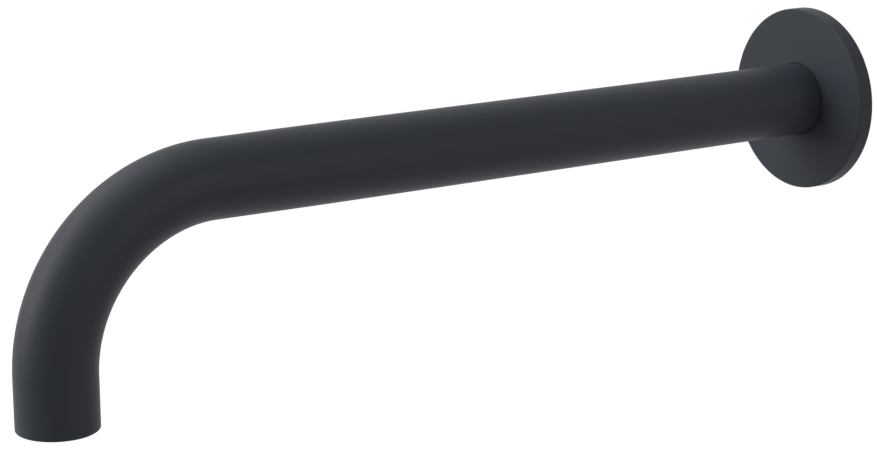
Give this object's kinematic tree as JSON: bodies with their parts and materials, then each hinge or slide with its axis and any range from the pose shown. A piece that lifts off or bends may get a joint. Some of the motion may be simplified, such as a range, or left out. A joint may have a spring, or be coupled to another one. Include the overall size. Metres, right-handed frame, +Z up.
{
  "type": "wall spout",
  "caption": "Matt black wall spout: a straight round arm with one smooth bend down to a plain outlet, a flat round wall flange and a threaded inlet behind it.",
  "frame": {"origin": "where the tube's axis meets the finished wall, which is the plane of the flange's back", "axes": "+Z up, the arm leaves the wall along -Y, the inlet thread goes into the wall along +Y, and X = 0 is the plane of symmetry"},
  "size_m": [0.056, 0.284, 0.088],
  "materials": {
    "black_coat": "matt black coating over brass, fine satin texture",
    "brass": "turned and left bare",
    "rubber": "moulded",
    "foam": "closed-cell foam with a cut edge",
    "screw_steel": "blackened",
    "filter_steel": "perforated sheet",
    "aerator_plastic": "moulded",
    "grid_plastic": "moulded"
  },
  "bodies": {
    "root": {"spout_tube": "black_coat", "inlet_sleeve": "brass", "wall_nipple": "brass", "nipple_o_ring_rear": "rubber", "nipple_o_ring_front": "rubber", "grub_screw": "screw_steel", "wall_flange": "black_coat", "flange_o_ring": "rubber", "wall_seal": "foam", "outlet_ring": "black_coat", "aerator_body": "aerator_plastic", "aerator_grid": "grid_plastic", "aerator_jet_plate": "grid_plastic", "aerator_filter": "filter_steel", "aerator_seal": "rubber"}
  },
  "joints": []
}
